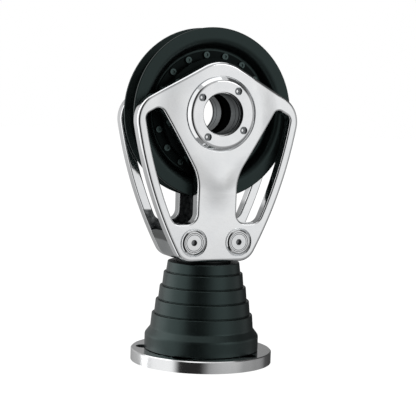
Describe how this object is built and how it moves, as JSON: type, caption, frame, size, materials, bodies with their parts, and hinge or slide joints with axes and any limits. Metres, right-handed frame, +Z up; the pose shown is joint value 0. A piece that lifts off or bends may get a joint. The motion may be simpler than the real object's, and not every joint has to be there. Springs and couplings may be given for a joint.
{
  "type": "stand-up block",
  "caption": "Rope sheave between two slotted steel side plates, standing upright on a toggle inside a stepped rubber boot and a round bolted base.",
  "frame": {"origin": "centre of the underside of the round base, on the deck", "axes": "+Z up from the deck, +X to the right along the side plates, +Y to the back along the sheave's axle, so the front plate faces -Y"},
  "size_m": [0.1528, 0.126, 0.296],
  "materials": {
    "polished_steel": "mirror polished stainless casting",
    "turned_steel": "fine turned stainless",
    "fastener_steel": "satin stainless fasteners",
    "black_anodised": "satin black hard anodised",
    "black_acetal": "machined black acetal",
    "bearing_plastic": "smooth bearing plastic",
    "boot_rubber": "matt moulded black rubber"
  },
  "bodies": {
    "base": {"base_plate": "turned_steel", "boot": "boot_rubber", "lower_toggle_pin": "fastener_steel", "lower_pin_clip": "fastener_steel"},
    "toggle": {"toggle_link": "turned_steel"},
    "head": {"crosshead": "turned_steel", "upper_toggle_pin": "fastener_steel", "upper_pin_clip": "fastener_steel", "front_side_plate": "polished_steel", "rear_side_plate": "polished_steel", "front_screw_cups": "polished_steel", "rear_screw_cups": "polished_steel", "front_foot_screws": "fastener_steel", "rear_foot_screws": "fastener_steel", "front_hub_ring": "polished_steel", "rear_hub_ring": "polished_steel", "front_hub_screws": "fastener_steel", "rear_hub_screws": "fastener_steel", "axle_sleeve": "black_acetal", "inner_race": "black_anodised"},
    "sheave": {"sheave": "black_anodised", "front_race_ring": "black_anodised", "rear_race_ring": "black_anodised", "front_race_screws": "black_anodised", "rear_race_screws": "black_anodised"},
    "roller_train": {"rollers": "bearing_plastic", "roller_cage": "black_acetal"},
    "front_ball_train": {"front_balls": "bearing_plastic", "front_ball_cage": "black_acetal"},
    "rear_ball_train": {"rear_balls": "bearing_plastic", "rear_ball_cage": "black_acetal"}
  },
  "joints": [
    {"name": "lean_fore_aft", "type": "hinge", "parent": "base", "child": "toggle", "pos_m": [0, 0, 0.034], "axis": [1, 0, 0], "range_deg": [-30, 30], "stiffness_Nm_per_rad": 45, "deforming": ["boot"]},
    {"name": "lean_sideways", "type": "hinge", "parent": "toggle", "child": "head", "pos_m": [0, 0, 0.062], "axis": [0, 1, 0], "range_deg": [-30, 30], "stiffness_Nm_per_rad": 40, "deforming": ["boot"]},
    {"name": "sheave_spin", "type": "hinge", "parent": "head", "child": "sheave", "pos_m": [0, 0, 0.221], "axis": [0, 1, 0], "continuous": true},
    {"name": "roller_train_spin", "type": "hinge", "parent": "head", "child": "roller_train", "pos_m": [0, 0, 0.221], "axis": [0, 1, 0], "continuous": true},
    {"name": "front_ball_spin", "type": "hinge", "parent": "head", "child": "front_ball_train", "pos_m": [0, 0, 0.221], "axis": [0, 1, 0], "continuous": true},
    {"name": "rear_ball_spin", "type": "hinge", "parent": "head", "child": "rear_ball_train", "pos_m": [0, 0, 0.221], "axis": [0, 1, 0], "continuous": true}
  ],
  "couplings": [
    {"joint": "roller_train_spin", "follows": "sheave_spin", "ratio": 0.5452},
    {"joint": "front_ball_spin", "follows": "sheave_spin", "ratio": 0.5305},
    {"joint": "rear_ball_spin", "follows": "sheave_spin", "ratio": 0.5305}
  ]
}
